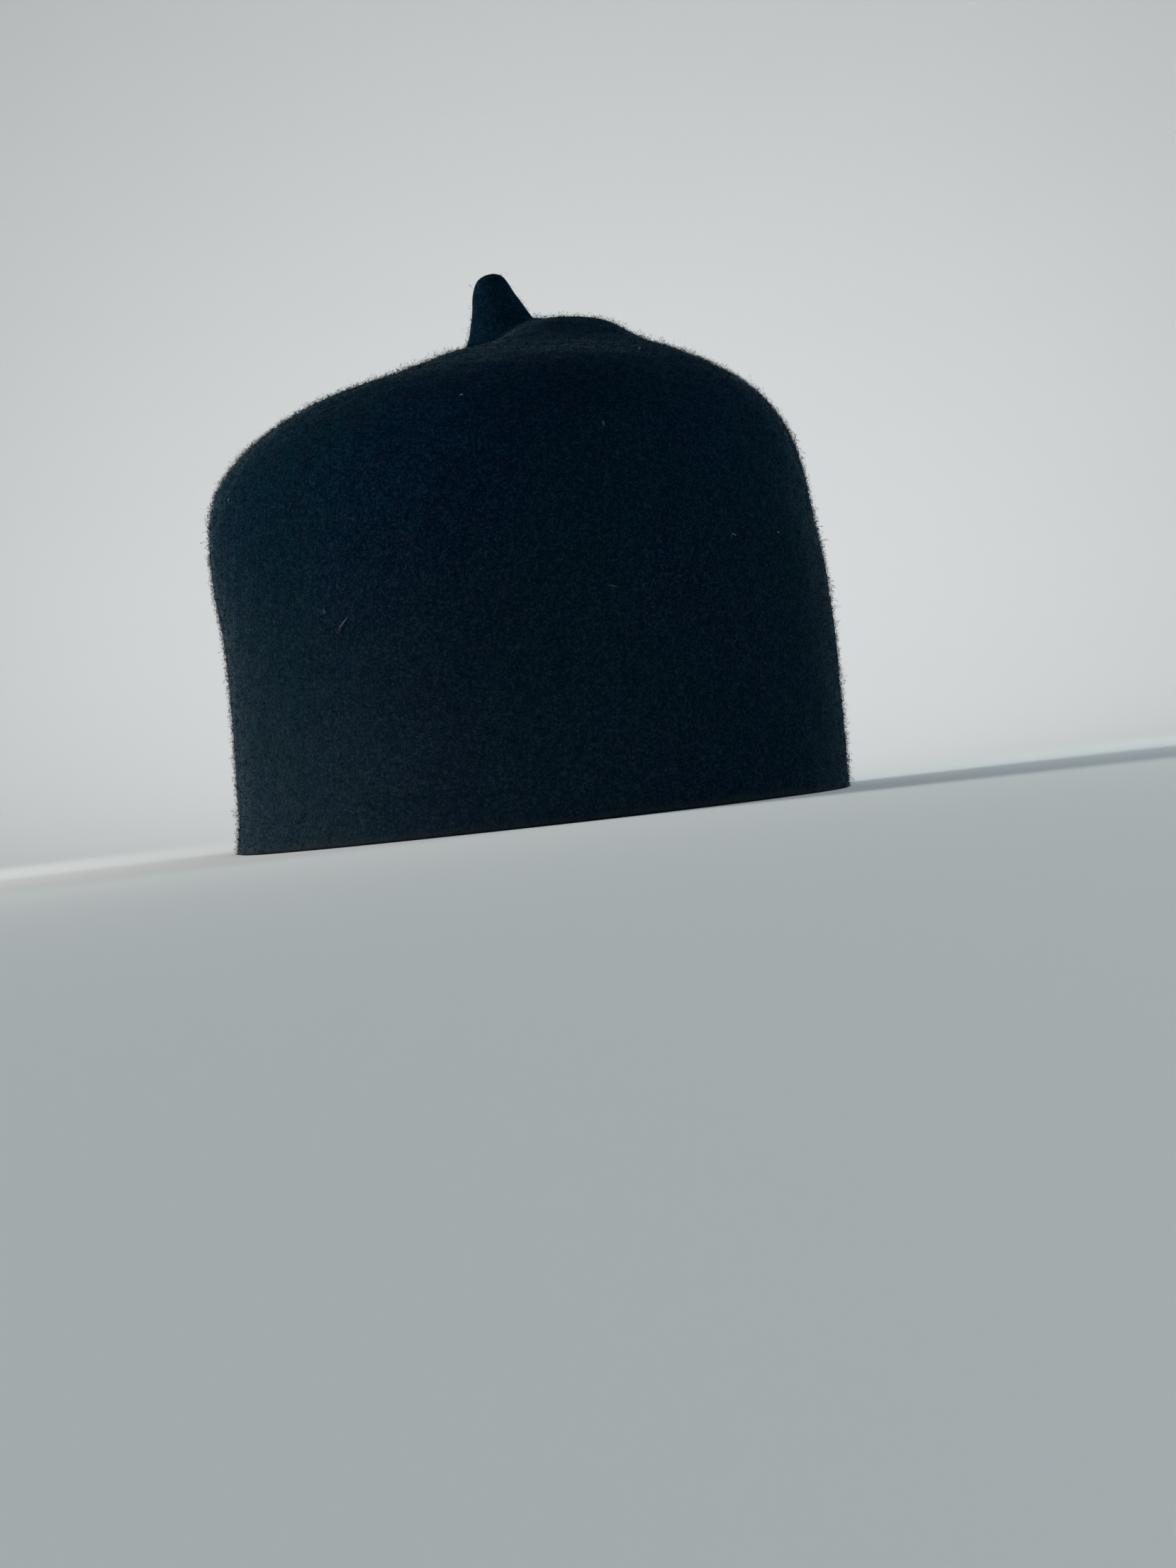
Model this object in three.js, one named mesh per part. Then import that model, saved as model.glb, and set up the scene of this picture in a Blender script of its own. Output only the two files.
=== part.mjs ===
// A brimless felt cap, blocked in one piece, with its centre drawn up into a short blunt tip.
// Millimetres, +Z up. The cap stands on its rim with the origin on the floor, under the middle of its box.
// +X is the wearer's left, -Y the front.
import * as THREE from "three";

// Driving dimensions
const feltThickness = 2.8;
const rimRounding = 0.6; // how far the cut edge is worn round, at its outer and inner corners
const rimHalfDepth = 102;
const rimLeftReach = 86.8; // from the tip's axis, which is 2.5 mm off the middle of the rim
const rimRightReach = 81.8;
const crownHeight = 130.4; // of the dome under the tip
const tipRise = 21.8; // of the tip above that dome

// Mesh density
const segments = 80;
const outerRings = 27;
const innerRings = 16;
const hollowRings = 4; // of the inside, below the tip
const tipRings = 10;

// Four upright profiles, from the rim to the tip's axis. In each row the reach is a share of the rim's reach
// on that side, and the height a share of the crown's height.
const crownSections = [
  { name: "rim", left: [1.0, 0.0], right: [1.0, 0.0], front: [1.0, 0.0], back: [1.0, 0.0] },
  { name: "hem", left: [0.985, 0.07], right: [1.003, 0.07], front: [0.997, 0.07], back: [0.998, 0.07] },
  { name: "low wall", left: [0.973, 0.23], right: [1.009, 0.23], front: [0.993, 0.23], back: [1.0, 0.23] },
  { name: "middle wall", left: [0.967, 0.4], right: [1.006, 0.4], front: [0.993, 0.4], back: [1.002, 0.4] },
  { name: "high wall", left: [0.982, 0.61], right: [0.979, 0.58], front: [0.987, 0.58], back: [0.992, 0.6] },
  { name: "wall top", left: [0.966, 0.715], right: [0.942, 0.718], front: [0.955, 0.69], back: [0.958, 0.72] },
  { name: "shoulder", left: [0.913, 0.774], right: [0.896, 0.789], front: [0.912, 0.75], back: [0.912, 0.795] },
  { name: "turn", left: [0.818, 0.83], right: [0.835, 0.842], front: [0.83, 0.812], back: [0.828, 0.857] },
  { name: "crown edge", left: [0.69, 0.872], right: [0.72, 0.9], front: [0.7, 0.878], back: [0.7, 0.903] },
  { name: "crown", left: [0.49, 0.892], right: [0.56, 0.956], front: [0.5, 0.933], back: [0.5, 0.943] },
  { name: "crown top", left: [0.26, 0.936], right: [0.3, 0.992], front: [0.26, 0.984], back: [0.26, 0.984] },
  { name: "axis", left: [0.0, 1.0], right: [0.0, 1.0], front: [0.0, 1.0], back: [0.0, 1.0] },
];
const profileTension = 0.5;

// The soft ridge on top of the crown, beside the tip, in millimetres from the tip's axis.
const ridge = { x: 19.7, y: -6, halfWidth: 18.4, halfLength: 22, rise: 7.5 };
const ridgeFlatness = { across: 4, along: 2 }; // powers of the distance from its middle: 2 gives a bell
const ridgeFade = 6; // power of the height by which it dies away down the crown

// The tip, section by section: rise above the dome, radius, and how far the middle leans to +X.
const tipSections = [
  { rise: 1.4, radius: 10.3, lean: 0.1 },
  { rise: 3.9, radius: 8.9, lean: 0.3 },
  { rise: 7.7, radius: 8.1, lean: 0.3 },
  { rise: 11.8, radius: 7.1, lean: 0.4 },
  { rise: 15.8, radius: 5.8, lean: -0.4 },
  { rise: 19.4, radius: 4.3, lean: -0.7 },
  { rise: 21.1, radius: 2.6, lean: -0.5 },
];
const tipRootStation = 0.945; // share of the profile at which the dome turns up into the tip
const tipLevelRise = 14; // from here up its rings are level, and below they follow the crown's slope
const tipHollow = { depth: 7, radius: 5 }; // the dimple that drawing up the tip leaves inside
const hollowEndStation = 0.994; // of the last ring inside, next to the middle of that dimple

const slopeStep = 0.004; // of angle, in radians, and of station, to either side of where a slope is read

function profileCurve(side, reach) {
  const points = crownSections.map(
    (section) => new THREE.Vector3(section[side][0] * reach, 0, section[side][1] * crownHeight),
  );
  return new THREE.CatmullRomCurve3(points, false, "catmullrom", profileTension);
}

const profiles = {
  left: profileCurve("left", rimLeftReach),
  right: profileCurve("right", rimRightReach),
  front: profileCurve("front", rimHalfDepth),
  back: profileCurve("back", rimHalfDepth),
};

function ridgeRise(x, y) {
  const across = Math.abs(x - ridge.x) / ridge.halfWidth;
  const along = Math.abs(y - ridge.y) / ridge.halfLength;
  return ridge.rise * Math.exp(-(across ** ridgeFlatness.across) - along ** ridgeFlatness.along);
}

// A point of the dome's outside. The station runs from 0 at the rim to 1 on the tip's axis.
function domePoint(angle, station) {
  const across = Math.cos(angle);
  const along = Math.sin(angle);
  const side = profiles.left.getPoint(station).lerp(profiles.right.getPoint(station), (1 + across) / 2);
  const end = profiles.front.getPoint(station).lerp(profiles.back.getPoint(station), (1 + along) / 2);
  const x = side.x * across;
  const y = end.x * along;
  const z = side.z * across ** 2 + end.z * along ** 2;
  return new THREE.Vector3(x, y, z + ridgeRise(x, y) * (z / crownHeight) ** ridgeFade);
}

function domeNormal(angle, station) {
  const low = Math.max(0, station - slopeStep);
  const high = Math.min(1, station + slopeStep);
  const up = domePoint(angle, high).sub(domePoint(angle, low));
  const round = domePoint(angle + slopeStep, station).sub(domePoint(angle - slopeStep, station));
  return round.cross(up).normalize();
}

// A closed ring of points, one for each segment.
function ringOf(pointAt) {
  return Array.from({ length: segments }, (_, i) => pointAt((i / segments) * 2 * Math.PI));
}

function domeRings() {
  const rings = [];
  for (let i = 1; i <= outerRings; i++) {
    const station = (i / outerRings) * tipRootStation;
    rings.push(ringOf((angle) => domePoint(angle, station)));
  }
  return rings;
}

function tipSurfaceRings() {
  const root = ringOf((angle) => domePoint(angle, tipRootStation));
  const curve = new THREE.CatmullRomCurve3(
    tipSections.map((section) => new THREE.Vector3(section.radius, section.lean, section.rise)),
  );
  const rings = [];
  for (let i = 0; i < tipRings; i++) {
    const { x: radius, y: lean, z: rise } = curve.getPoint(i / (tipRings - 1));
    const level = THREE.MathUtils.smoothstep(rise, 0, tipLevelRise);
    rings.push(
      root.map((foot, k) => {
        const angle = (k / segments) * 2 * Math.PI;
        const slope = (foot.z - crownHeight) * (1 - level);
        const x = lean + radius * Math.cos(angle);
        const y = radius * Math.sin(angle);
        return new THREE.Vector3(x, y, crownHeight + rise + slope);
      }),
    );
  }
  return rings;
}

// The inside lies one felt's thickness under the dome, with a dimple below the tip.
function innerPoint(angle, station) {
  const point = domePoint(angle, station).addScaledVector(domeNormal(angle, station), -feltThickness);
  const away = Math.hypot(point.x, point.y) / tipHollow.radius;
  point.z += tipHollow.depth * Math.exp(-(away ** 2));
  return point;
}

// From the middle of the inside down to the rim.
function innerSurfaceRings() {
  const stations = [];
  for (let i = hollowRings; i >= 1; i--) {
    stations.push(tipRootStation + (i / hollowRings) * (hollowEndStation - tipRootStation));
  }
  for (let i = innerRings; i >= 1; i--) {
    stations.push((i / innerRings) * tipRootStation);
  }
  return stations.map((station) => ringOf((angle) => innerPoint(angle, station)));
}

// The cut edge: the inner corner, the flat face that rests on the floor, and the outer corner.
function rimRings() {
  const edge = (inset, height) =>
    ringOf((angle) => {
      const normal = domeNormal(angle, 0).setZ(0).normalize();
      return domePoint(angle, 0).addScaledVector(normal, -inset).setZ(height);
    });
  return [
    edge(feltThickness, rimRounding),
    edge(feltThickness - rimRounding, 0),
    edge(rimRounding, 0),
    edge(0, rimRounding),
  ];
}

// Joins the rings in order into one closed skin, with a single point at each end.
function closedSkin(first, rings, last) {
  const positions = [first, ...rings.flat(), last].flatMap((point) => point.toArray());
  const triangles = [];
  const at = (ring, i) => 1 + ring * segments + (i % segments);
  const end = 1 + rings.length * segments;
  for (let i = 0; i < segments; i++) {
    triangles.push(0, at(0, i + 1), at(0, i));
    for (let ring = 0; ring + 1 < rings.length; ring++) {
      triangles.push(at(ring, i), at(ring + 1, i + 1), at(ring + 1, i));
      triangles.push(at(ring, i), at(ring, i + 1), at(ring + 1, i + 1));
    }
    triangles.push(end, at(rings.length - 1, i), at(rings.length - 1, i + 1));
  }
  const geometry = new THREE.BufferGeometry();
  geometry.setAttribute("position", new THREE.Float32BufferAttribute(positions, 3));
  geometry.setIndex(triangles);
  geometry.computeVertexNormals();
  return geometry;
}

function feltCap() {
  const innerTop = new THREE.Vector3(0, 0, crownHeight + ridgeRise(0, 0) - feltThickness + tipHollow.depth);
  const tipTop = new THREE.Vector3(tipSections.at(-1).lean, 0, crownHeight + tipRise);
  const rings = [...innerSurfaceRings(), ...rimRings(), ...domeRings(), ...tipSurfaceRings()];
  const felt = new THREE.MeshStandardMaterial({ color: 0x0e161c, roughness: 0.95, metalness: 0 });
  const mesh = new THREE.Mesh(closedSkin(innerTop, rings, tipTop), felt);
  mesh.name = "felt_cap";
  return mesh;
}

const cap = new THREE.Group();
cap.add(feltCap());
const middle = new THREE.Box3().setFromObject(cap).getCenter(new THREE.Vector3());
cap.position.set(-middle.x, -middle.y, 0);

export default cap;
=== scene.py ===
import math

import bpy
import numpy as np
from mathutils import Matrix, Vector


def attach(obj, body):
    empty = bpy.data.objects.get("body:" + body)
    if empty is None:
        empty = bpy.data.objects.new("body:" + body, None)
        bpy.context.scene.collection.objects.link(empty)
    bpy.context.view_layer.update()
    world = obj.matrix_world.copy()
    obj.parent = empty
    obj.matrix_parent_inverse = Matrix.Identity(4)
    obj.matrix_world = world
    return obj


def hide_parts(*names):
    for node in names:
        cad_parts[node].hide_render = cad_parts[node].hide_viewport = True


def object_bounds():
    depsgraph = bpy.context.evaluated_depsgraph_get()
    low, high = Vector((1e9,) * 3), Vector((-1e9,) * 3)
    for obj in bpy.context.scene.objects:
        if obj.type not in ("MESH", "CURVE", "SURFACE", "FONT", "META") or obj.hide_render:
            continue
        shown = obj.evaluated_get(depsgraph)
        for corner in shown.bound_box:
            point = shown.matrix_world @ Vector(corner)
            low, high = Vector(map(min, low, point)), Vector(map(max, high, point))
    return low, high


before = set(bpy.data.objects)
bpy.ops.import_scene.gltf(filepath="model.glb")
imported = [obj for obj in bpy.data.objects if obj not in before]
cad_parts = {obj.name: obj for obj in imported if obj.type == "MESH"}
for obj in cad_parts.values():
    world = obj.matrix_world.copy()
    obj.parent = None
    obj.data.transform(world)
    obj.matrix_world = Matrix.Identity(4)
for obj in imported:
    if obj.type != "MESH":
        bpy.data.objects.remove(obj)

# A felt cap blocked in one piece: its felt with rim, hollow and tip, then the nap, loose wool and lint on it.
# Shapes are worked out in millimetres from the tip's axis, and scaled to metres as they become meshes.
metre = 0.001
cadLow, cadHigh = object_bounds()

capShape = {
    "thickness": 2.8,
    "rimRounding": 0.6,
    "reach": {"left": 86.8, "right": 81.8, "front": 102.0, "back": 102.0},
    "crownHeight": 130.4,
    "tipRise": 21.8,
    # reach and height of each section, as shares, from the rim to the tip's axis
    "left": [(1, 0), (0.985, 0.07), (0.973, 0.23), (0.967, 0.4), (0.982, 0.61), (0.966, 0.715),
             (0.913, 0.774), (0.818, 0.83), (0.69, 0.872), (0.49, 0.892), (0.26, 0.936), (0, 1)],
    "right": [(1, 0), (1.003, 0.07), (1.009, 0.23), (1.006, 0.4), (0.979, 0.58), (0.942, 0.718),
              (0.896, 0.789), (0.835, 0.842), (0.72, 0.9), (0.56, 0.956), (0.3, 0.992), (0, 1)],
    "front": [(1, 0), (0.997, 0.07), (0.993, 0.23), (0.993, 0.4), (0.987, 0.58), (0.955, 0.69),
              (0.912, 0.75), (0.83, 0.812), (0.7, 0.878), (0.5, 0.933), (0.26, 0.984), (0, 1)],
    "back": [(1, 0), (0.998, 0.07), (1, 0.23), (1.002, 0.4), (0.992, 0.6), (0.958, 0.72), (0.912, 0.795),
             (0.828, 0.857), (0.7, 0.903), (0.5, 0.943), (0.26, 0.984), (0, 1)],
    "ridgeAt": (19.7, -6),  # the soft ridge beside the tip
    "ridgeHalf": (18.4, 22),
    "ridgeRise": 7.5,
    "ridgeFade": 6,  # the higher, the sooner it ends down the walls
    # rise over the dome, radius and lean of the tip's sections
    "tip": [(1.4, 10.3, 0.1), (3.9, 8.9, 0.3), (7.7, 8.1, 0.3), (11.8, 7.1, 0.4), (15.8, 5.8, -0.4),
            (19.4, 4.3, -0.7), (21.1, 2.6, -0.5)],
    "tipRoot": 0.945,  # station where the tip leaves the dome
    "tipLead": 0.018,  # its curve takes its direction from this far below
    "tipLevelRise": 14,  # its sections are level from this height over the dome
    "dimple": (7, 5),  # depth and radius of the hollow under the tip
    "hollowFrom": 0.994,  # stations of the first and last row of the inside
    "hollowTo": 0.0065,
    "domeFrom": 0.0075,  # station of the first row over the cut edge
    "poleRise": 0.12,  # of the middle of the blunt end over its last row
    # points in a row, and rows of each part
    "around": 288,
    "domeRows": 176,
    "tipRows": 40,
    "hollowRows": 74,
    "edgeRows": 5,  # of each corner of the cut edge
    "faceRows": 2,  # between the two corners
    "boxSteps": (721, 301),  # angles and stations at which the plain form's box is taken
}


def alongCurve(points, share):
    # an even spline through the points, read at shares from 0 to 1
    points = np.asarray(points, float)
    last = len(points) - 1
    place = np.clip(share, 0, 1) * last
    first = np.minimum(place.astype(int), last - 1)
    padded = np.concatenate([[2 * points[0] - points[1]], points, [2 * points[-1] - points[-2]]])
    before, start, end, after = (padded[first + i] for i in range(4))
    w = (place - first).reshape(first.shape + (1,) * (points.ndim - 1))
    leaving, arriving = (end - before) / 2, (after - start) / 2
    return ((2 * start - 2 * end + leaving + arriving) * w ** 3
            + (3 * end - 3 * start - 2 * leaving - arriving) * w ** 2 + leaving * w + start)


def ridgeOver(x, y):
    across = np.abs(x - capShape["ridgeAt"][0]) / capShape["ridgeHalf"][0]
    along = np.abs(y - capShape["ridgeAt"][1]) / capShape["ridgeHalf"][1]
    return capShape["ridgeRise"] * np.exp(-across ** 4 - along ** 2)


def domePoints(angle, station):
    # rows of points of the outside: station 0 is the rim, and 1 the tip's axis
    def profile(side):
        scale = (capShape["reach"][side], capShape["crownHeight"])
        return alongCurve(np.array(capShape[side]) * scale, station)[:, None, :]

    across, along = np.cos(angle)[None, :], np.sin(angle)[None, :]
    side = profile("left") + (profile("right") - profile("left")) * (1 + across[..., None]) / 2
    end = profile("front") + (profile("back") - profile("front")) * (1 + along[..., None]) / 2
    x, y = side[..., 0] * across, end[..., 0] * along
    z = side[..., 1] * across ** 2 + end[..., 1] * along ** 2
    z = z + ridgeOver(x, y) * (z / capShape["crownHeight"]) ** capShape["ridgeFade"]
    return np.stack([x, y, z], -1)


def unit(vectors):
    tiny = 1e-12
    return vectors / np.maximum(np.linalg.norm(vectors, axis=-1, keepdims=True), tiny)


def domeOutward(angle, station):
    step = 0.004  # of the station, and of the angle in radians
    low, high = np.maximum(station - step, 0), np.minimum(station + step, 1)
    up = domePoints(angle, high) - domePoints(angle, low)
    turn = domePoints(angle + step, station) - domePoints(angle - step, station)
    return unit(np.cross(turn, up))


reliefShape = {
    "waves": [(62, 0.1, 11), (26, 0.12, 12), (9, 0.06, 13), (3.6, 0.03, 14)],  # length, height and seed
    "crossing": 26,  # waves of each length
    "spread": (0.7, 1.4),  # shortest and longest of them, as shares of that length
    # soft dents and swells: middle, half size and rise
    "marks": [((50, -62, 96), (9, 40, 26), -0.7), ((66, -55, 78), (10, 40, 16), 0.5),
              ((-30, -80, 62), (26, 40, 20), 0.35), ((30, -80, 28), (16, 40, 22), -0.4),
              ((-9.5, 0, 131.5), (3.5, 9, 3), 2.0), ((-9, 0, 141), (4, 9, 7), 1.2),
              ((10, 0, 134), (4, 9, 5), -0.6)],
    "tipShare": 0.25,  # how much of it the tip has
    "tipFade": (14, 16),  # it fades out at this height over the dome, and over this many mm
    "flatRim": 4,  # below this height it leaves the rim's height alone
}


def softWaves(points, length, seed):
    # smooth unevenness of about unit size, from crossing waves of about that length
    draw = np.random.default_rng(seed)
    total = np.zeros(points.shape[:-1])
    for _ in range(reliefShape["crossing"]):
        heading = unit(draw.normal(size=3))
        wave = 2 * math.pi / (length * draw.uniform(*reliefShape["spread"]))
        total += np.sin(points @ heading * wave + draw.uniform(0, 2 * math.pi))
    return total / math.sqrt(reliefShape["crossing"] / 2)


def reliefOf(points):
    rise = sum(height * softWaves(points, length, seed) for length, height, seed in reliefShape["waves"])
    for middle, half, height in reliefShape["marks"]:
        rise += height * np.exp(-(((points - middle) / half) ** 2).sum(-1))
    edge, over = reliefShape["tipFade"]
    fade = (capShape["crownHeight"] + edge - points[..., 2]) / over
    return rise * np.clip(fade, reliefShape["tipShare"], 1)


def hollowRows(angle):
    # the inside, from its middle down to the rim
    station = np.linspace(capShape["hollowFrom"], capShape["hollowTo"], capShape["hollowRows"])
    out = domeOutward(angle, station)
    points = domePoints(angle, station) - capShape["thickness"] * out
    depth, radius = capShape["dimple"]
    points[..., 2] += depth * np.exp(-(np.hypot(points[..., 0], points[..., 1]) / radius) ** 2)
    return points, out


def edgeRows(angle):
    # the cut edge: inner corner, flat face and outer corner
    thickness, rounding = capShape["thickness"], capShape["rimRounding"]
    foot = domePoints(angle, np.zeros(1))
    out = unit(domeOutward(angle, np.zeros(1)) * (1, 1, 0))
    bend = np.linspace(0, math.pi / 2, capShape["edgeRows"])
    flat = np.linspace(thickness - rounding, rounding, capShape["faceRows"] + 2)[1:-1]
    inset = np.concatenate([thickness - rounding * (1 - np.cos(bend)), flat, rounding * (1 - np.sin(bend))])
    points = foot - inset[:, None, None] * out
    height = np.concatenate([rounding * (1 - np.sin(bend)), flat * 0, rounding * (1 - np.cos(bend))])
    points[..., 2] = height[:, None]
    return points, np.repeat(out, len(inset), 0)


def tipRows(angle):
    # from the dome's root up to the blunt end
    tip, root, height = np.array(capShape["tip"])[:, None, :], capShape["tipRoot"], capShape["crownHeight"]
    foot = domePoints(angle, np.array([root - capShape["tipLead"], root]))
    level = np.clip(tip[..., 0] / capShape["tipLevelRise"], 0, 1)
    slope = (foot[1:, :, 2] - height) * (1 - level ** 2 * (3 - 2 * level))
    rings = np.stack([tip[..., 2] + tip[..., 1] * np.cos(angle), tip[..., 1] * np.sin(angle),
                      height + tip[..., 0] + slope], -1)
    top = np.broadcast_to((capShape["tip"][-1][2], 0, height + capShape["tipRise"]), (1, len(angle), 3))
    controls = np.concatenate([foot, rings, top])
    share = np.linspace(1 / (len(controls) - 1), 1, capShape["tipRows"] + 1)[1:]
    points = alongCurve(controls, share)[:-1]
    turn = np.roll(points, -1, 1) - np.roll(points, 1, 1)
    return points, unit(np.cross(turn, np.gradient(points, axis=0)))


def feltRows():
    # rows of points from the middle of the hollow, round the rim, to the tip, and the first row of the dome
    angle = np.arange(capShape["around"]) / capShape["around"] * 2 * math.pi
    station = np.linspace(capShape["domeFrom"], capShape["tipRoot"], capShape["domeRows"])
    dome = domePoints(angle, station), domeOutward(angle, station)
    parts = [hollowRows(angle), edgeRows(angle), dome, tipRows(angle)]
    points, out = (np.concatenate(group) for group in zip(*parts))
    flatRim = np.where(points[..., 2:] < reliefShape["flatRim"], (1, 1, 0), 1)
    return points + out * reliefOf(points)[..., None] * flatRim, len(parts[0][0]) + len(parts[1][0])


def rowNormals():
    turn = np.roll(rows, -1, 1) - np.roll(rows, 1, 1)
    return unit(np.cross(turn, np.gradient(rows, axis=0)))


mapShape = {
    # places on the OFBake map
    "margin": 0.004,  # left free below and above the felt
    "roots": (0.004, 0.985),  # where fibres may start
    "middleOn": 0.04,  # how much further on a fibre's middle side lies, as a share of its length
}


def sharesUp():
    # how far along the felt each row lies
    margin = mapShape["margin"]
    length = np.linalg.norm(np.diff(rows, axis=0), axis=-1).mean(1)
    share = np.concatenate([[0], np.cumsum(length)])
    return margin + (1 - 2 * margin) * share / share[-1]


def intoFrame():
    # the move that brings the box of the plain form onto the box of the CAD part
    angles, stations = capShape["boxSteps"]
    plain = domePoints(np.linspace(0, 2 * math.pi, angles), np.linspace(0, 1, stations)).reshape(-1, 3)
    across, along = ((plain.min(0) + plain.max(0)) / 2 * metre)[:2]
    return np.array([(cadLow.x + cadHigh.x) / 2 - across, (cadLow.y + cadHigh.y) / 2 - along, cadLow.z])


rows, domeStart = feltRows()
normals, rowShare, toFrame = rowNormals(), sharesUp(), intoFrame()
print("felt shaped:", rows.shape)


def meshPiece(name, vertices, faceGroups, finish, corners=None, values=None):
    # vertices in millimetres, groups of faces of one size each, the corners' places on the OFBake map, and
    # named values of the vertices for the finish to read
    sizes = np.concatenate([np.full(len(faces), faces.shape[1]) for faces in faceGroups])
    used = np.concatenate([faces.ravel() for faces in faceGroups])
    mesh = bpy.data.meshes.new(name)
    mesh.vertices.add(len(vertices))
    mesh.vertices.foreach_set("co", (vertices * metre + toFrame).astype(np.float32).ravel())
    mesh.loops.add(len(used))
    mesh.loops.foreach_set("vertex_index", used.astype(np.int32))
    mesh.polygons.add(len(sizes))
    mesh.polygons.foreach_set("loop_start", (np.cumsum(sizes) - sizes).astype(np.int32))
    mesh.update(calc_edges=True)
    mesh.polygons.foreach_set("use_smooth", np.ones(len(sizes), bool))
    if corners is not None:
        mesh.uv_layers.new(name="OFBake").data.foreach_set("uv", corners.astype(np.float32).ravel())
    for key, value in (values or {}).items():
        mesh.attributes.new(key, "FLOAT", "POINT").data.foreach_set("value", value.astype(np.float32))
    mesh.materials.append(finish)
    piece = bpy.data.objects.new(name, mesh)
    bpy.context.scene.collection.objects.link(piece)
    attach(piece, "root")
    return piece


class Wire:
    # a socket that takes part in sums
    def __init__(self, tree, socket):
        self.tree, self.socket = tree, socket

    def combined(self, operation, first, second):
        node = self.tree.nodes.new("ShaderNodeMath")
        node.operation = operation
        for socket, value in zip(node.inputs, (first, second)):
            plug(self.tree, socket, value)
        return Wire(self.tree, node.outputs[0])

    def __add__(self, other):
        return self.combined("ADD", self, other)

    def __radd__(self, other):
        return self.combined("ADD", other, self)

    def __sub__(self, other):
        return self.combined("SUBTRACT", self, other)

    def __rsub__(self, other):
        return self.combined("SUBTRACT", other, self)

    def __mul__(self, other):
        return self.combined("MULTIPLY", self, other)

    def __rmul__(self, other):
        return self.combined("MULTIPLY", other, self)

    def __pow__(self, other):
        return self.combined("POWER", self, other)

    def __rpow__(self, other):
        return self.combined("POWER", other, self)


def plug(tree, socket, value):
    if isinstance(value, Wire):
        tree.links.new(value.socket, socket)
    elif isinstance(value, tuple) and len(socket.default_value) == len(value) + 1:
        socket.default_value = (*value, 1)
    else:
        socket.default_value = value


class Finish:
    # one material and the nodes that make it
    def __init__(self, name):
        self.material = bpy.data.materials.new(name)
        self.material.use_nodes = True
        self.tree = self.material.node_tree
        self.tree.nodes.clear()
        self.place = self.node("TexCoord", {}, {}, "Object")

    def node(self, kind, settings, sockets, output=0):
        node = self.tree.nodes.new("ShaderNode" + kind)
        for key, value in settings.items():
            setattr(node, key, value)
        for key, value in sockets.items():
            plug(self.tree, node.inputs[key], value)
        return Wire(self.tree, node.outputs[output] if node.outputs else None)

    def axis(self, number):
        return self.node("SeparateXYZ", {}, {"Vector": self.place}, number)

    def noise(self, scale, detail, roughness, distortion, offset=(0, 0, 0)):
        place = self.node("VectorMath", {"operation": "ADD"}, {0: self.place, 1: offset})
        return self.node("TexNoise", {}, {"Vector": place, "Scale": scale, "Detail": detail,
                                          "Roughness": roughness, "Distortion": distortion})

    def ramp(self, value, low, high):
        return self.node("MapRange", {"interpolation_type": "SMOOTHSTEP"},
                         {"Value": value, "From Min": low, "From Max": high})

    def fall(self, value, low, high):
        return 1 - self.ramp(value, low, high)

    def blend(self, factor, first, second):
        return self.node("Mix", {"data_type": "RGBA"}, {0: factor, 6: first, 7: second}, 2)

    def strand(self, noise, thin):
        # thin curling lines, where a noise crosses its middle
        middle = 0.5
        near = 1 - self.node("Math", {"operation": "ABSOLUTE"}, {0: self.noise(*noise) - middle}) * thin
        return self.node("Math", {"operation": "MAXIMUM"}, {0: near, 1: 0.0})

    def bump(self, strength, distance, height):
        return self.node("Bump", {}, {"Strength": strength, "Distance": distance, "Height": height})

    def matte(self, colour, roughness, normal, more):
        return self.node("BsdfPrincipled", {}, {
            "Base Color": colour, "Roughness": roughness, "Normal": normal, "Specular IOR Level": 0, **more})

    def done(self, shader):
        self.node("OutputMaterial", {}, {"Surface": shader})
        return self.material


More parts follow.
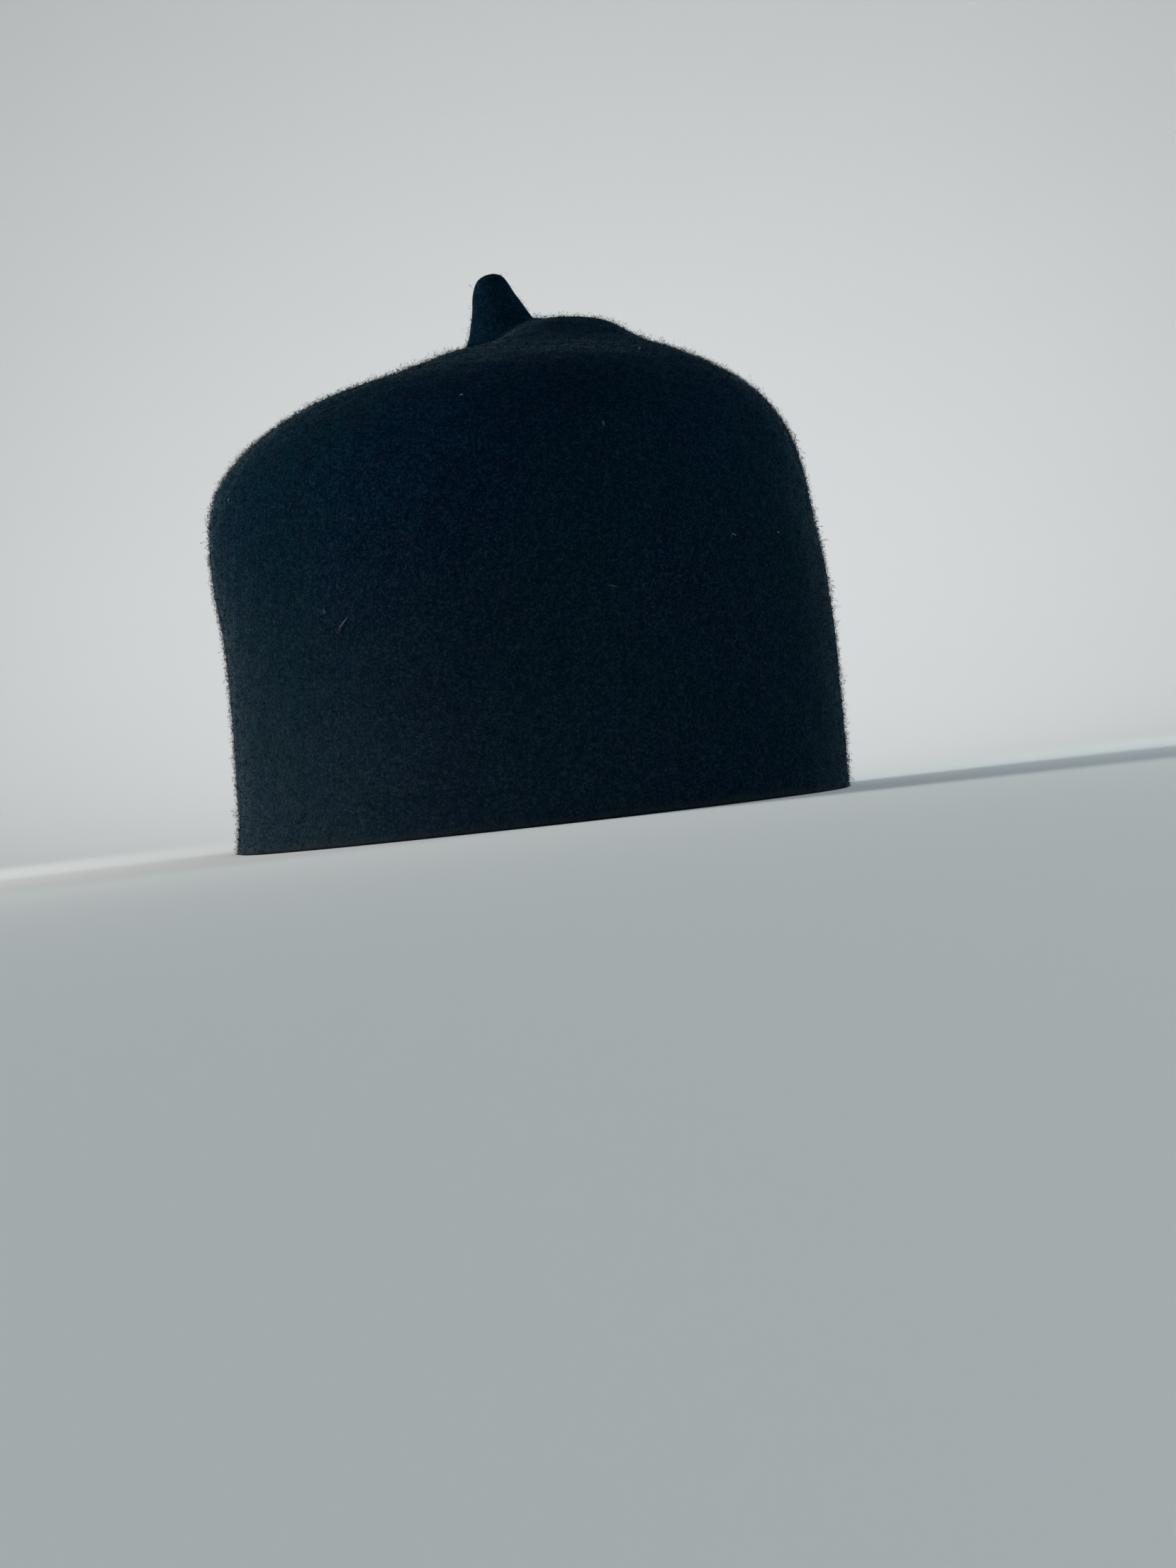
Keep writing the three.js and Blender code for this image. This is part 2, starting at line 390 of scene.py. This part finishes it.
feltLook = {
    # the ground, and the fibres that lie on it at the crown and lower down
    "ground": (0.0003, 0.0084, 0.0165),
    "crownFibre": (0.0068, 0.0295, 0.0560),
    "wallFibre": (0.0145, 0.0280, 0.0430),
    "fibreSpan": (0.46, 0.92),  # values of the mixed pattern from the ground to a full fibre
    # patches of another hue, with the values of the pattern that they come in over and the most they cover
    "olive": {"colour": (0.0088, 0.0262, 0.0315), "span": (0.42, 0.7), "most": 0.6},
    "violet": {"colour": (0.0180, 0.0200, 0.0400), "span": (0.48, 0.66), "most": 0.5},
    "navy": {"colour": (0.0005, 0.0058, 0.0195), "span": (0.38, 0.58), "most": 0.7},
    # greyer and lighter towards the hem, most of all at the left
    "hemGrey": (0.0420, 0.0520, 0.0620),
    "hemGreyGround": (0.0100, 0.0230, 0.0310),
    "hemGreyHeight": (0.0, 0.08),  # metres up over which it dies away
    "hemGreyAcross": (-0.085, 0.06),  # and metres across, from left to right
    "hemGreySides": (0.05, 0.92),  # how much at the right, and how much more at the left
    "hemGreyFibres": (0.1, 0.7),  # least share of it that the fibres take, and how much more by the clouds
    "hemGreyUnder": 0.6,  # share that the ground takes
    "cutEdge": (0.0210, 0.0260, 0.0270),
    "edgeHeight": (-0.0003, 0.0014),  # metres up over which its colour dies away
    "edgeUneven": 0.0018,  # metres by which that wanders
    "edgeCover": (0.35, 0.5),  # least cover of its colour, and how much more by the fine pattern
    # painted sheen: a lighter colour mixed in the flatter one looks across the felt, partly the standing nap
    # that shows more there and partly painted light caught along the outline
    "paintedSheenGround": (0.0150, 0.0400, 0.0540),
    "crownPaintedSheen": (0.1700, 0.2500, 0.2900),
    "wallPaintedSheen": (0.1450, 0.1620, 0.1850),
    "paintedSheenPower": (10, 7),  # at the crown and at the wall
    # patterns: scale, detail, roughness, distortion and offset
    "fine": (1650, 1.0, 0.5, 0.5),
    "tufts": (900, 2.0, 0.5, 0.9),
    "broad": (24, 3.0, 0.55, 0.3),
    "cloudy": (60, 2.0, 0.5, 0.2, (0.7, 0.2, 0.4)),
    "patchy": (110, 2.0, 0.5, 0.2, (0.15, 0.6, 0.35)),
    # curling lines: pattern and thinness
    "lines": [((820, 1.0, 0.5, 0.6, (0.31, 0.12, 0.05)), 12), ((1150, 1.0, 0.5, 0.6, (0.07, 0.41, 0.23)), 10),
              ((1500, 1.0, 0.5, 0.6, (0.52, 0.09, 0.37)), 9)],
    # weights with which the patterns add up
    "inFibres": {"fine": 0.52, "tufts": 0.4, "lines": 0.12},
    "inRoughness": {"fine": 0.1, "cloudy": 0.06},
    "inBump": {"tufts": 0.7, "fine": 0.45, "lines": 0.28, "cloudy": 0.5},
    "wallTop": (0.05, 0.115),  # heights in metres over which the wall's fibres give way to the crown's
    "roughness": 0.86,
    "sheen": {"Sheen Weight": 0.02, "Sheen Roughness": 0.3, "Sheen Tint": (0.65, 0.88, 1.0)},
    "bumpStrength": 0.3,
    "bumpDepth": 0.00034,
}


def feltFinish():
    wool = Finish("brushed wool felt")
    across, height = wool.axis(0), wool.axis(2)
    patterns = {key: wool.noise(*feltLook[key]) for key in ("fine", "tufts", "broad", "cloudy", "patchy")}
    patterns["lines"] = sum(wool.strand(*line) for line in feltLook["lines"])

    def mixed(weights, start=0):
        return sum((patterns[key] * weight for key, weight in weights.items()), start)

    def patched(under, key, shape, pattern):
        patch = feltLook[key]
        return wool.blend(shape(patterns[pattern], *patch["span"]) * patch["most"], under, patch["colour"])

    low = wool.fall(height, *feltLook["wallTop"])
    fibres = wool.ramp(mixed(feltLook["inFibres"]), *feltLook["fibreSpan"])
    light = wool.blend(low, feltLook["crownFibre"], feltLook["wallFibre"])
    light = patched(light, "olive", wool.ramp, "broad")
    light = patched(light, "violet", wool.ramp, "patchy")
    ground = patched(feltLook["ground"], "navy", wool.fall, "broad")
    # greyer and lighter towards the hem, most of all at the left
    right, more = feltLook["hemGreySides"]
    bySide = wool.fall(across, *feltLook["hemGreyAcross"]) * more + right
    hemGrey = wool.fall(height, *feltLook["hemGreyHeight"]) * bySide
    least, more = feltLook["hemGreyFibres"]
    light = wool.blend(hemGrey * (patterns["cloudy"] * more + least), light, feltLook["hemGrey"])
    ground = wool.blend(hemGrey * feltLook["hemGreyUnder"], ground, feltLook["hemGreyGround"])
    tone = wool.blend(fibres, ground, light)
    least, more = feltLook["edgeCover"]
    edge = wool.fall(height - patterns["cloudy"] * feltLook["edgeUneven"], *feltLook["edgeHeight"])
    tone = wool.blend(edge * (least + patterns["fine"] * more), tone, feltLook["cutEdge"])
    roughness = mixed(feltLook["inRoughness"], feltLook["roughness"])
    bump = wool.bump(feltLook["bumpStrength"], feltLook["bumpDepth"], mixed(feltLook["inBump"]))
    # painted sheen, mixed in at grazing angles: lighter than the felt, for the standing nap and the light it
    # catches along the outline
    paintedSheen = wool.blend(low, feltLook["crownPaintedSheen"], feltLook["wallPaintedSheen"])
    paintedSheen = wool.blend(fibres, feltLook["paintedSheenGround"], paintedSheen)
    crownPower, wallPower = feltLook["paintedSheenPower"]
    power = crownPower - low * (crownPower - wallPower)
    grazing = wool.node("LayerWeight", {}, {}, "Facing") ** power
    return wool.done(wool.node("MixShader", {}, {
        0: grazing,
        1: wool.matte(tone, roughness, bump, feltLook["sheen"]),
        2: wool.matte(paintedSheen, roughness, bump, {}),
    }))


fibreLook = {
    # patterns: scale, detail, roughness and distortion
    "pattern": (1.0, 0.5, 0.0),  # from fibre to fibre, at the scale that each look gives
    "curl": (5000, 1.0, 0.5, 0.0),
    "roughness": (0.8, 0.15),  # least, and how much more by the curl
    "bumpStrength": 0.3,
    "bumpDepth": 0.00003,
    "wallTop": (0.06, 0.115),  # heights in metres over which the wall's ends give way to the crown's
    "endward": (0.15, 1.0),  # shares of a fibre's length over which the painted shade at its root gives way to its end's tone
}


def fibreFinish(name, look):
    # fibres with painted shade at the root, where the nap would shadow itself, each with an end of its own
    # tone
    wool = Finish(name)
    along = wool.node("Attribute", {"attribute_name": "endward"}, {}, "Fac")
    fibre = wool.ramp(wool.noise(look["scale"], *fibreLook["pattern"]), *look["spread"])
    curl = wool.noise(*fibreLook["curl"])
    end = look["lightEnd"]
    if "wallEnd" in look:
        end = wool.blend(wool.ramp(wool.axis(2), *fibreLook["wallTop"]), look["wallEnd"], end)
    end = wool.blend(fibre, look["darkEnd"], end)
    # painted light: standing fibres get lighter ends, for the light they catch along the outline
    if "standingLitEnd" in look:
        upright = wool.node("Attribute", {"attribute_name": "upright"}, {}, "Fac")
        end = wool.blend(upright, end, look["standingLitEnd"])
    # painted shade: the root's darker tone fades into the end's along the fibre
    tone = wool.blend(wool.ramp(along, *fibreLook["endward"]), look["root"], end)
    least, more = fibreLook["roughness"]
    bump = wool.bump(fibreLook["bumpStrength"], fibreLook["bumpDepth"], curl)
    return wool.done(wool.matte(tone, least + curl * more, bump, {}))


def feltPiece():
    # quads between the rows, and a fan at each end
    around, last = rows.shape[1], len(rows) - 1
    poles = [rows[0].mean(0), rows[-1].mean(0) + (0, 0, capShape["poleRise"])]
    row, turn = (grid.ravel() for grid in np.meshgrid(np.arange(last), np.arange(around), indexing="ij"))
    quadRow = np.stack([row, row, row + 1, row + 1], -1)
    quadTurn = np.stack([turn, turn + 1, turn + 1, turn], -1)
    turn = np.arange(around)
    fanTurn = np.concatenate([np.stack([turn + 1, turn], -1), np.stack([turn, turn + 1], -1)])
    fanRow = np.repeat([[0, 0], [last, last]], around, 0)
    pole = np.repeat([[rows.shape[0] * around], [rows.shape[0] * around + 1]], around, 0)
    quads = quadRow * around + quadTurn % around
    fans = np.concatenate([pole, fanRow * around + fanTurn % around], 1)
    quadPlaces = np.stack([quadTurn / around, rowShare[quadRow]], -1)
    fanPlaces = np.stack([np.concatenate([fanTurn.mean(1, keepdims=True), fanTurn], 1) / around,
                          np.concatenate([np.repeat([[0], [1]], around, 0), rowShare[fanRow]], 1)], -1)
    return meshPiece("felt_shell", np.concatenate([rows.reshape(-1, 3), poles]), [quads, fans], feltFinish(),
                     np.concatenate([quadPlaces.reshape(-1, 2), fanPlaces.reshape(-1, 2)]))


feltShell = feltPiece()
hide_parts("felt_cap")
print("felt made:", len(feltShell.data.polygons), "faces")


def rootsOn(draw, count, weightOf):
    # places spread over the outside, as many on each patch as its area times the weight asks
    firstRow = domeStart - capShape["edgeRows"] - 1
    low, high = rows[firstRow:-1], rows[firstRow + 1:]
    area = np.linalg.norm(np.cross(np.roll(low, -1, 1) - low, high - low), axis=-1)
    weight = (area * weightOf((low + high) / 2)).ravel()
    row, turn = np.divmod(draw.choice(len(weight), count, p=weight / weight.sum()), rows.shape[1])
    row = row + firstRow
    u, v = draw.random((2, count, 1))
    after = (turn + 1) % rows.shape[1]

    def read(grid):
        under = grid[row, turn] * (1 - u) + grid[row, after] * u
        over = grid[row + 1, turn] * (1 - u) + grid[row + 1, after] * u
        return under * (1 - v) + over * v

    up = rowShare[row] * (1 - v[:, 0]) + rowShare[row + 1] * v[:, 0]
    return read(rows), unit(read(normals)), np.stack([(turn + u[:, 0]) / rows.shape[1], up], -1)


def headings(draw, normal, lift):
    # directions that leave the felt at that angle, each with a random turn, and one square to it
    flat = unit(np.cross(normal, draw.normal(size=normal.shape)))
    lift = np.radians(lift)[:, None]
    heading = flat * np.cos(lift) + normal * np.sin(lift)
    return heading, unit(np.cross(heading, draw.normal(size=normal.shape)))


def fibrePiece(name, finish, centres, radii, square, upright=None, place=None, mapSize=None):
    # closed three-sided fibres along rows of points, each with a point at both ends and a radius between
    sides = 3
    along = unit(np.gradient(centres, axis=1))[:, 1:-1]
    first = unit(np.cross(along, square[:, None]))[:, :, None]
    second = np.cross(along[:, :, None], first)
    turn = np.arange(sides)[:, None] * 2 * math.pi / sides
    rings = centres[:, 1:-1, None] + radii[..., None, None] * (first * np.cos(turn) + second * np.sin(turn))
    count, number = rings.shape[:2]
    vertices = np.concatenate([centres[:, :1], rings.reshape(count, -1, 3), centres[:, -1:]], 1)
    end = sides * number + 1
    pattern = [(0, 1 + (j + 1) % sides, 1 + j) for j in range(sides)]
    pattern += [(end, end - sides + j, end - sides + (j + 1) % sides) for j in range(sides)]
    for low in range(1, end - sides, sides):
        high = low + sides
        for j in range(sides):
            k = (j + 1) % sides
            pattern += [(low + j, low + k, high + k), (low + j, high + k, high + j)]
    pattern = np.array(pattern)
    faces = (np.arange(count) * (end + 1))[:, None, None] + pattern
    ring, side = np.divmod(np.arange(sides * number), sides)
    share = np.concatenate([[0], (ring + 1) / (number + 1), [1]])
    corners = None
    if place is not None:
        # on the map a fibre is a strip, with its middle side moved on so that no face there is flat
        aside = np.concatenate([[0], side - 1, [0]]) * mapSize[0]
        spread = np.stack([aside, (share + mapShape["middleOn"] * (aside == 0)) * mapSize[1]], -1)
        corners = (np.clip(place, *mapShape["roots"])[:, None, None] + spread[pattern]).reshape(-1, 2)
    values = {"endward": np.tile(share, count)}
    if upright is not None:
        values["upright"] = np.repeat(upright, end + 1)
    return meshPiece(name, vertices.reshape(-1, 3), [faces.reshape(-1, 3)], finish, corners, values)


napShape = {
    "fibres": 31000,  # in each piece
    "length": (0.9, 2.3),
    "radius": (0.036, 0.066),
    "lift": (6, 34),
    "standing": 0.15,  # the share that stands up
    "standingLift": (45, 82),
    "standingRadius": 0.32,  # as a share of the others'
    "waist": 0.35,  # the share of its length at which a fibre is widest
    "bend": 0.3,
    "rootDepth": 0.12,
    "floorGap": 0.09,
    "mapSize": (0.0012, 0.0032),  # of a fibre on the OFBake map
    "crownEdge": (88, 16),  # height and mm over which the wall's nap gives way to the crown's
    "topEdge": (112, 10),  # height and mm over which that thins out again
    "topThin": 0.35,  # how much thinner it is on top
    "tipEdge": (6, 6),  # height over the dome and mm over which the tip starts
    "tipThin": 0.65,
}
napLook = {
    # root: painted shade, darker than any end, where the nap would shadow itself
    "root": (0.0004, 0.0032, 0.0085),
    "darkEnd": (0.0016, 0.0095, 0.0180),
    "wallEnd": (0.0620, 0.0800, 0.0920),
    "lightEnd": (0.0250, 0.0480, 0.0640),  # at the crown
    # the standing fibres' ends: painted light, for the light they catch along the outline
    "standingLitEnd": (0.0520, 0.0690, 0.0830),
    "scale": 1100,
    "spread": (0.55, 0.66),
}


def napPiece(name, finish, weightOf, seed):
    draw = np.random.default_rng(seed)
    count = napShape["fibres"]
    root, normal, place = rootsOn(draw, count, weightOf)
    standing = draw.random(count) < napShape["standing"]
    steep, low = (draw.uniform(*napShape[key], count) for key in ("standingLift", "lift"))
    heading, square = headings(draw, normal, np.where(standing, steep, low))
    length = draw.uniform(*napShape["length"], (count, 1))
    bend = draw.normal(0, napShape["bend"], (count, 1)) * length
    start, end = root - normal * napShape["rootDepth"], root + heading * length
    waist = start + (end - start) * napShape["waist"] + square * bend + normal * np.abs(bend) / 2
    centres = np.stack([start, waist, end], 1)
    centres[..., 2] = np.maximum(centres[..., 2], napShape["floorGap"])
    thin = np.where(standing, napShape["standingRadius"], 1)[:, None]
    radii = draw.uniform(*napShape["radius"], (count, 1)) * thin
    return fibrePiece(name, finish, centres, radii, square, standing, place, napShape["mapSize"])


def above(points, edge, over):
    # 0 up to the edge, rising to 1 over the next mm
    return np.clip((points[..., 2] - edge) / over, 0, 1)


def onTip(points):
    edge, over = napShape["tipEdge"]
    return above(points, capShape["crownHeight"] + edge, over)


def onWall(points):
    return 1 - above(points, *napShape["crownEdge"])


def onCrown(points):
    thin = 1 - napShape["topThin"] * above(points, *napShape["topEdge"])
    return above(points, *napShape["crownEdge"]) * thin * (1 - napShape["tipThin"] * onTip(points))


nap = fibreFinish("wool nap", napLook)
napPiece("nap_front", nap, lambda points: onWall(points) * (points[..., 1] < 0), seed=21)
napPiece("nap_back", nap, lambda points: onWall(points) * (points[..., 1] >= 0), seed=22)
napPiece("nap_crown", nap, onCrown, seed=23)
print("nap made")

hairShape = {
    "hairs": 8500,
    "length": (0.9, 4.8),
    "lengthPower": 2.2,  # the higher, the fewer long ones
    "radius": (0.010, 0.018),
    "lift": (5, 60),
    "curl": (0.3, 1.1),  # radians turned at each step
    "steps": 3,
    "rise": 0.05,  # how far each step bends away from the felt
    "endRadius": 0.5,  # as a share of the radius at the root
    "wallWeight": 0.25,
    "crownWeight": 1.5,  # more than at the wall
    "crownEdge": (80, 35),  # height and mm over which the crown starts
    "tipThin": 0.8,
    "clump": (7, 32),  # size, and seed of where the clumps are
    "clumpRise": 0.9,
    "clumpRange": (0.1, 3),
    # where it stands thickest: middle, radius and weight
    "tufts": [((32, -10, 132), 6, 3), ((42, -20, 124), 5, 4), ((-30, -29, 120), 14, 2)],
    "rootDepth": 0.4,
    "floorGap": 0.06,
    "mapSize": (0.0012, 0.008),
}
hairLook = {
    # the lighter hairs fade from the root's tone to their ends: painted shade towards the root
    "root": (0.0120, 0.0190, 0.0230),
    "darkEnd": (0.0120, 0.0190, 0.0230),
    "lightEnd": (0.0580, 0.0840, 0.0970),
    "scale": 260,
    "spread": (0.36, 0.66),
}


def hairWeight(points):
    high = hairShape["wallWeight"] + hairShape["crownWeight"] * above(points, *hairShape["crownEdge"])
    clumps = 1 + hairShape["clumpRise"] * softWaves(points, *hairShape["clump"])
    tufts = sum(more * np.exp(-(((points - middle) / radius) ** 2).sum(-1))
                for middle, radius, more in hairShape["tufts"])
    clumps = np.clip(clumps, *hairShape["clumpRange"]) + tufts
    return high * clumps * (1 - hairShape["tipThin"] * onTip(points))


def hairPiece(name, finish, seed):
    # hairs that curl as they go, most of them short
    draw = np.random.default_rng(seed)
    count, steps = hairShape["hairs"], hairShape["steps"]
    root, normal, place = rootsOn(draw, count, hairWeight)
    heading, square = headings(draw, normal, draw.uniform(*hairShape["lift"], count))
    shortest, longest = hairShape["length"]
    length = shortest + (longest - shortest) * draw.random((count, 1)) ** hairShape["lengthPower"]
    curl = draw.uniform(*hairShape["curl"], (count, 1)) * draw.choice([-1, 1], (count, 1))
    centres = [root - normal * hairShape["rootDepth"], root]
    for _ in range(steps):
        centres.append(centres[-1] + heading * length / steps)
        rise = normal * hairShape["rise"]
        heading = unit(heading * np.cos(curl) + np.cross(heading, square) * np.sin(curl) + rise)
    centres = np.stack(centres, 1)
    centres[..., 2] = np.maximum(centres[..., 2], hairShape["floorGap"])
    radii = draw.uniform(*hairShape["radius"], (count, 1)) * np.linspace(1, hairShape["endRadius"], steps)
    return fibrePiece(name, finish, centres, radii, square, place=place, mapSize=hairShape["mapSize"])


hairPiece("loose_wool", fibreFinish("loose wool hair", hairLook), seed=31)
print("loose wool made")

lintShape = {
    # place across and up the front, length, width, turn from level in degrees, and bend as a share of length
    "pink": [((-44.0, 52.8), 5.4, 0.36, 52, 0.12)],
    "pale": [
        ((-48.0, 57.7), 1.6, 0.45, -70, 0.08),
        ((36.3, 117.6), 2.4, 0.75, 48, 0.14),
        ((23.2, 93.4), 1.6, 0.42, -74, 0.18),
        ((53.2, 64.3), 2.0, 0.42, 22, 0.55),
        ((64.9, 66.0), 1.1, 0.6, -14, 0.1),
        ((20.7, 53.6), 2.7, 0.24, -14, 0.05),
        ((-9.9, 104.9), 0.9, 0.5, 4, 0.1),
        ((-66.2, 28.7), 3.1, 0.26, -82, 0.06),
        ((-72.2, 90.7), 1.2, 0.6, 50, 0.2),
    ],
}
threadShape = {
    "points": 9,
    "sway": (0.7, 0.3),  # shares of a single and of a double bend
    "lift": (0.1, 0.3),  # mm over the felt at the ends, and how much more in the middle
    "endWidth": 0.35,  # as a share of the middle's
}
lintLook = {
    # the lighter threads fade from the root's tone to their ends: painted shade towards the root
    "pink": {"root": (0.12, 0.055, 0.07), "darkEnd": (0.12, 0.055, 0.07), "lightEnd": (0.17, 0.14, 0.17),
             "scale": 700, "spread": (0.36, 0.66)},
    "pale": {"root": (0.08, 0.11, 0.13), "darkEnd": (0.08, 0.11, 0.13), "lightEnd": (0.14, 0.18, 0.21),
             "scale": 700, "spread": (0.36, 0.66)},
}


def lintPiece(name, threads, finish):
    # threads that lie in the nap of the front
    front, out = rows[domeStart:].reshape(-1, 3), normals[domeStart:].reshape(-1, 3)
    share = np.linspace(0, 1, threadShape["points"])[:, None]
    arch = np.sin(share * math.pi)
    single, double = threadShape["sway"]
    wave = single * arch + double * np.sin(share * 2 * math.pi)
    atEnds, more = threadShape["lift"]
    thin = threadShape["endWidth"]
    centres, radii, squares = [], [], []
    for (x, z), length, width, turn, bend in threads:
        away = np.where(front[:, 1] > 0, np.inf, np.hypot(front[:, 0] - x, front[:, 2] - z))
        k = np.argmin(away)
        level = unit(np.cross((0, 0, 1), out[k]))
        turn = math.radians(turn)
        heading = level * math.cos(turn) + np.cross(out[k], level) * math.sin(turn)
        side = np.cross(out[k], heading)
        along = heading * (share - 0.5) + side * wave * bend
        centres.append(front[k] + along * length + out[k] * (atEnds + more * arch))
        radii.append(width / 2 * (thin + (1 - thin) * arch[1:-1, 0]))
        squares.append(out[k])
    return fibrePiece(name, finish, *(np.array(group) for group in (centres, radii, squares)))


for tint, threads in lintShape.items():
    lintPiece("lint_" + tint, threads, fibreFinish(tint + " lint", lintLook[tint]))
print("lint made")

sweepShape = {
    "flat": 0.7,  # radius of the level floor, in metres
    "bend": 1.5,
    "bendRows": 17,
    "wallHeight": 1.7,
    "under": 0.0002,  # how far it lies below the part, so that the two don't share a plane
    "around": 128,
    "colour": (0.80, 0.82, 0.82),
    "shade": (0.776, 0.795, 0.795),
    "clouds": (3.0, 2.0, 0.5, 0.0),  # scale, detail, roughness and distortion
    "roughness": (0.9, 0.04),  # least, and how much more by the clouds
    "gloss": 0.1,
}


def studioSweep():
    # a floor that bends up into a wall all round
    flat, bend, around = sweepShape["flat"], sweepShape["bend"], sweepShape["around"]
    profile = [(flat / 4, 0), (flat / 2, 0)]
    for t in np.linspace(0, math.pi / 2, sweepShape["bendRows"]):
        profile.append((flat + bend * math.sin(t), bend * (1 - math.cos(t))))
    profile.append((flat + bend, sweepShape["wallHeight"]))
    angle = np.arange(around) / around * 2 * math.pi
    points = [(r * math.cos(a), r * math.sin(a), z - sweepShape["under"]) for r, z in profile for a in angle]
    points.append((0, 0, -sweepShape["under"]))
    faces = [((i + 1) * around + k, (i + 1) * around + (k + 1) % around, i * around + (k + 1) % around,
              i * around + k) for i in range(len(profile) - 1) for k in range(around)]
    faces += [(k, (k + 1) % around, len(points) - 1) for k in range(around)]
    mesh = bpy.data.meshes.new("studio_sweep")
    mesh.from_pydata(points, [], faces)
    mesh.polygons.foreach_set("use_smooth", [True] * len(faces))
    paper = Finish("pale studio paper")
    tone = paper.noise(*sweepShape["clouds"])
    least, more = sweepShape["roughness"]
    mesh.materials.append(paper.done(paper.node("BsdfPrincipled", {}, {
        "Base Color": paper.blend(tone, sweepShape["colour"], sweepShape["shade"]),
        "Roughness": least + tone * more,
        "Specular IOR Level": sweepShape["gloss"],
    })))
    sweep = bpy.data.objects.new("studio_sweep", mesh)
    bpy.context.scene.collection.objects.link(sweep)
    return sweep


studioSweep()

lampShape = {
    # place, aim, size, watts, colour and spread in degrees
    "key": ((-0.90, 0.072, 0.322), (0, 0, 0.07), 0.5, 2.47, (1.0, 0.96, 0.90), 90),
    "fill": ((0.35, -1.2, 0.62), (0, 0, 0.07), 0.7, 3.7, (0.88, 0.97, 1.0), 180),
    "rim": ((0.756, 0.432, 0.328), (0, 0, 0.09), 0.5, 0.78, (0.76, 0.95, 1.0), 90),
    "wall": ((0.0, 0.75, 1.1), (0.2, 2.0, 0.2), 0.9, 9.9, (1.0, 0.99, 0.975), 180),
}
skyShape = {"colour": (0.86, 0.97, 1.08), "strength": 0.13}


def softLight(name, place, aim, size, watts, colour, spread):
    light = bpy.data.lights.new(name, "AREA")
    light.shape, light.size, light.energy, light.color = "DISK", size, watts, colour
    light.spread = math.radians(spread)
    lamp = bpy.data.objects.new(name, light)
    lamp.location = place
    lamp.rotation_euler = (Vector(aim) - Vector(place)).to_track_quat("-Z", "Y").to_euler()
    lamp.visible_camera = False
    bpy.context.scene.collection.objects.link(lamp)


for name, values in lampShape.items():
    softLight(name, *values)
world = bpy.data.worlds.new("studio")
bpy.context.scene.world = world
world.use_nodes = True
sky = world.node_tree.nodes["Background"]
sky.inputs["Color"].default_value = (*skyShape["colour"], 1)
sky.inputs["Strength"].default_value = skyShape["strength"]
bpy.context.scene.view_settings.view_transform = "Standard"
bpy.context.scene.view_settings.look = "None"
print("studio made")

cameraShape = {
    "place": (0.01265, -0.650, 0.0085),
    "lean": math.radians(6.4),  # how far the cap leans over in the picture
    "focal": 3302,  # in the picture's pixels
    "height": 2212,  # of the picture, in pixels
    "sensor": 36,  # mm, along that height
    "clip": (0.01, 20),  # nearest and furthest that it sees, in metres
}
lens = bpy.data.cameras.new("camera")
lens.sensor_width = cameraShape["sensor"]
lens.lens = cameraShape["focal"] / cameraShape["height"] * cameraShape["sensor"]
lens.clip_start, lens.clip_end = cameraShape["clip"]
camera = bpy.data.objects.new("camera", lens)
lean, (x, y, z) = cameraShape["lean"], cameraShape["place"]
# it looks level along +Y, turned about that line by the lean
camera.matrix_world = Matrix((
    (math.cos(lean), math.sin(lean), 0, x),
    (0, 0, -1, y),
    (-math.sin(lean), math.cos(lean), 0, z),
    (0, 0, 0, 1),
))
bpy.context.scene.collection.objects.link(camera)
bpy.context.scene.camera = camera
